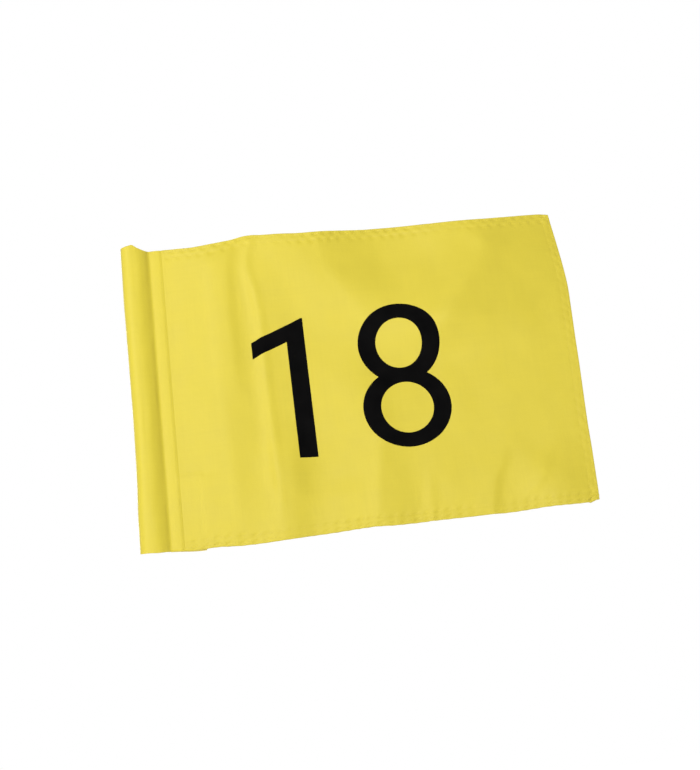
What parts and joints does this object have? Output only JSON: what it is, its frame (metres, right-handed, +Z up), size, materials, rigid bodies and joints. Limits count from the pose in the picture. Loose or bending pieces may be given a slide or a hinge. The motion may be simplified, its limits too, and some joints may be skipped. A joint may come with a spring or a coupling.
{
  "type": "tubed golf flag",
  "caption": "Rectangular nylon golf flag with a hole number, sewn round a plastic tube that drops over a flagstick and lets the flag turn on it.",
  "frame": {"origin": "centre of the stick bore where its wall begins, just inside the lower bush's chamfered mouth", "axes": "+Z up the flagstick, +X from the stick to the fly edge, front of the flag faces -Y"},
  "size_m": [0.5081, 0.0204, 0.358],
  "materials": {
    "nylon_cloth": "plain-woven nylon, slight sheen",
    "polyester_thread": "twisted sewing thread",
    "label_satin": "woven satin tape, yellow and blank",
    "numeral_film": "flat black heat-pressed film",
    "tube_plastic": "extruded white PVC",
    "bush_plastic": "moulded nylon"
  },
  "bodies": {
    "tube": {"tube_insert": "tube_plastic", "lower_bush": "bush_plastic", "upper_bush": "bush_plastic"},
    "flag": {"hoist_sleeve": "nylon_cloth", "flag_panel": "nylon_cloth", "care_label": "label_satin", "inner_seam_stitching": "polyester_thread", "outer_seam_stitching": "polyester_thread", "top_hem_outer_row": "polyester_thread", "top_hem_inner_row": "polyester_thread", "bottom_hem_outer_row": "polyester_thread", "bottom_hem_inner_row": "polyester_thread", "fly_hem_outer_row": "polyester_thread", "fly_hem_inner_row": "polyester_thread", "lower_sleeve_tack": "polyester_thread", "upper_sleeve_tack": "polyester_thread", "number_one_front": "numeral_film", "number_one_back": "numeral_film", "number_eight_front": "numeral_film", "number_eight_back": "numeral_film"}
  },
  "joints": [
    {"name": "flag_swivel", "type": "hinge", "parent": "tube", "child": "flag", "pos_m": [0, 0, 0], "axis": [0, 0, 1], "continuous": true}
  ]
}
